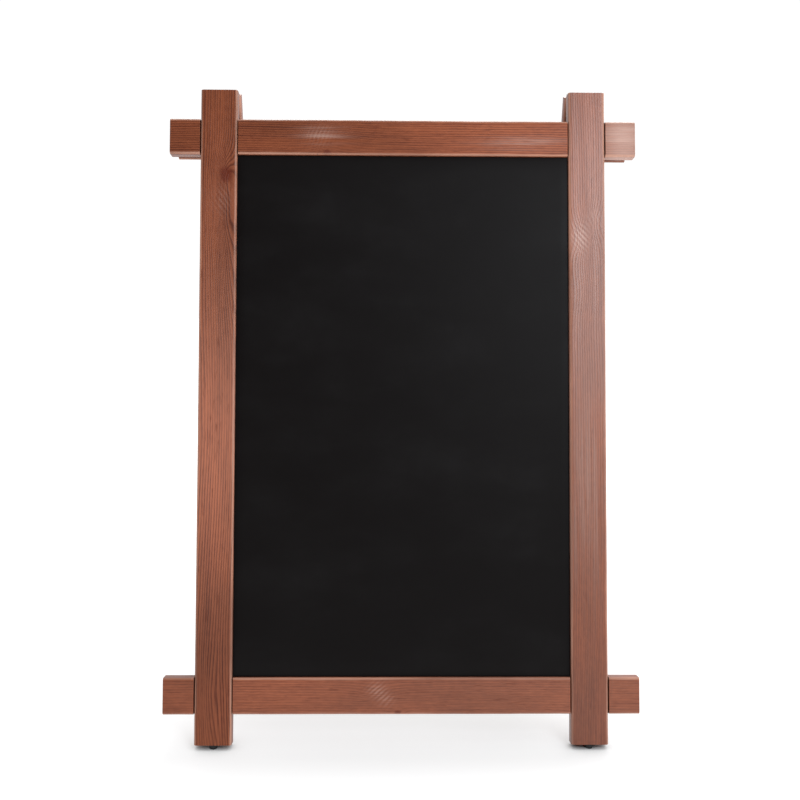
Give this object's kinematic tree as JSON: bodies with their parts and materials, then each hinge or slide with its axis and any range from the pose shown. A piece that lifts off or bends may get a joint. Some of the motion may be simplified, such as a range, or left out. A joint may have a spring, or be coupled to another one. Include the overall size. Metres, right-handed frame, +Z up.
{
  "type": "sandwich board",
  "caption": "Free-standing folding A-frame notice board: stained timber frames with recessed black chalk panels, hinged at the horns, held open by folding stays.",
  "frame": {"origin": "middle of the footprint, on the floor that the rubber feet stand on, board standing open", "axes": "+X across the board, to the right as seen from the front; the front frame faces -Y; +Z up"},
  "size_m": [0.576, 0.372, 0.7909],
  "materials": {
    "stile_wood": "mahogany-stained pine, satin varnish",
    "rail_wood": "mahogany-stained pine, satin varnish",
    "bead_wood": "mahogany-stained pine, satin varnish",
    "chalk_panel": "hardboard with matt black chalkboard paint",
    "foot_rubber": "moulded black rubber",
    "hinge_steel": "yellow-passivated rolled steel",
    "stay_steel": "zinc-plated pressed steel",
    "screw_steel": "zinc-plated steel"
  },
  "bodies": {
    "front_frame": {"front_stile_left": "stile_wood", "front_stile_right": "stile_wood", "front_rail_top": "rail_wood", "front_rail_bottom": "rail_wood", "front_panel": "chalk_panel", "front_bead_left": "bead_wood", "front_bead_right": "bead_wood", "front_bead_top": "bead_wood", "front_bead_bottom": "bead_wood", "front_bead_pins": "screw_steel", "front_joint_screws": "screw_steel", "front_foot_left": "foot_rubber", "front_foot_right": "foot_rubber", "front_foot_nails": "screw_steel", "hinge_left_front_leaf": "hinge_steel", "hinge_right_front_leaf": "hinge_steel", "hinge_left_pin": "hinge_steel", "hinge_right_pin": "hinge_steel", "hinge_screws_front": "screw_steel", "stay_washers": "stay_steel", "stay_screws_front": "screw_steel"},
    "back_frame": {"back_stile_left": "stile_wood", "back_stile_right": "stile_wood", "back_rail_top": "rail_wood", "back_rail_bottom": "rail_wood", "back_panel": "chalk_panel", "back_bead_left": "bead_wood", "back_bead_right": "bead_wood", "back_bead_top": "bead_wood", "back_bead_bottom": "bead_wood", "back_bead_pins": "screw_steel", "back_joint_screws": "screw_steel", "back_foot_left": "foot_rubber", "back_foot_right": "foot_rubber", "back_foot_nails": "screw_steel", "hinge_left_back_leaf": "hinge_steel", "hinge_right_back_leaf": "hinge_steel", "hinge_screws_back": "screw_steel", "stay_spacers": "stay_steel", "stay_screws_back": "screw_steel"},
    "stay_left_front": {"stay_left_front_link": "stay_steel", "stay_left_rivet_head": "stay_steel"},
    "stay_left_back": {"stay_left_back_link": "stay_steel", "stay_left_rivet_tail": "stay_steel"},
    "stay_right_front": {"stay_right_front_link": "stay_steel", "stay_right_rivet_head": "stay_steel"},
    "stay_right_back": {"stay_right_back_link": "stay_steel", "stay_right_rivet_tail": "stay_steel"}
  },
  "joints": [
    {"name": "fold", "type": "hinge", "parent": "front_frame", "child": "back_frame", "pos_m": [0, 0, 0.78816], "axis": [-1, 0, 0], "range_deg": [0, 24]},
    {"name": "stay_left_front_pivot", "type": "hinge", "parent": "front_frame", "child": "stay_left_front", "pos_m": [-0.205, -0.06873, 0.49607], "axis": [1, 0, 0], "range_deg": [0, 72.62]},
    {"name": "stay_left_back_pivot", "type": "hinge", "parent": "back_frame", "child": "stay_left_back", "pos_m": [-0.205, 0.06873, 0.49607], "axis": [-1, 0, 0], "range_deg": [0, 72.62]},
    {"name": "stay_right_front_pivot", "type": "hinge", "parent": "front_frame", "child": "stay_right_front", "pos_m": [0.205, -0.06873, 0.49607], "axis": [1, 0, 0], "range_deg": [0, 72.62]},
    {"name": "stay_right_back_pivot", "type": "hinge", "parent": "back_frame", "child": "stay_right_back", "pos_m": [0.205, 0.06873, 0.49607], "axis": [-1, 0, 0], "range_deg": [0, 72.62]}
  ],
  "couplings": [
    {"joint": "stay_left_front_pivot", "follows": "fold", "ratio": 3.0238},
    {"joint": "stay_left_back_pivot", "follows": "fold", "ratio": 3.0238},
    {"joint": "stay_right_front_pivot", "follows": "fold", "ratio": 3.0238},
    {"joint": "stay_right_back_pivot", "follows": "fold", "ratio": 3.0238}
  ]
}
